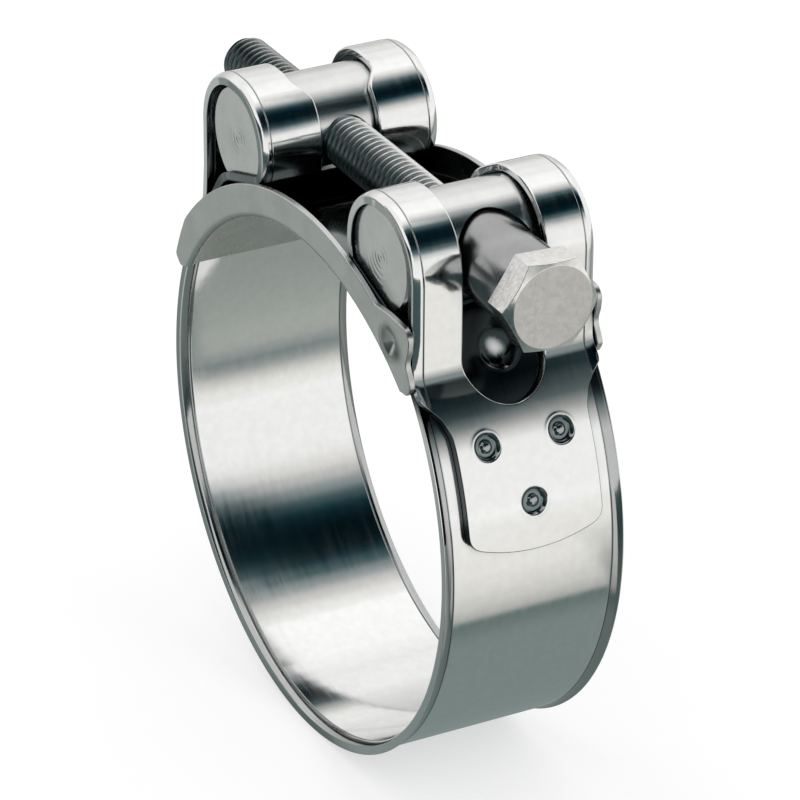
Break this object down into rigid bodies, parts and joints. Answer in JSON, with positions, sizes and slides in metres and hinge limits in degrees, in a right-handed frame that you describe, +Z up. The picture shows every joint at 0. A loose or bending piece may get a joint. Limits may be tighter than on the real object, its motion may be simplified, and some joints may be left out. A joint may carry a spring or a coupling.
{
  "type": "bolt hose clamp",
  "caption": "Heavy-duty stainless hose clamp: a one-piece band folded into a loop at each end, a bridge under the gap, and a cross bolt through round trunnions.",
  "frame": {"origin": "centre of the round band, on its axis, midway between its two edges", "axes": "+Y along the axis of the hose, +Z up through the gap between the two ends of the band, +X towards the head of the bolt"},
  "size_m": [0.0725, 0.0236, 0.0736],
  "materials": {
    "band_steel": "polished",
    "bridge_steel": "satin",
    "trunnion_steel": "turned, satin",
    "sleeve_steel": "satin",
    "bolt_steel": "forged, matt"
  },
  "bodies": {
    "clamp": {"band": "band_steel", "bridge": "bridge_steel", "plain_trunnion": "trunnion_steel", "threaded_trunnion": "trunnion_steel"},
    "sleeve": {"spacer_sleeve": "sleeve_steel"},
    "bolt": {"bolt": "bolt_steel"}
  },
  "joints": [
    {"name": "bolt_turn", "type": "hinge", "parent": "clamp", "child": "sleeve", "pos_m": [0, 0, 0.0332], "axis": [1, 0, 0], "range_deg": [0, 8640]},
    {"name": "bolt_travel", "type": "slide", "parent": "sleeve", "child": "bolt", "axis": [1, 0, 0], "range_m": [0, 0.0241]}
  ],
  "couplings": [
    {"joint": "bolt_travel", "follows": "bolt_turn", "m_per_rad": 0.00015915}
  ]
}
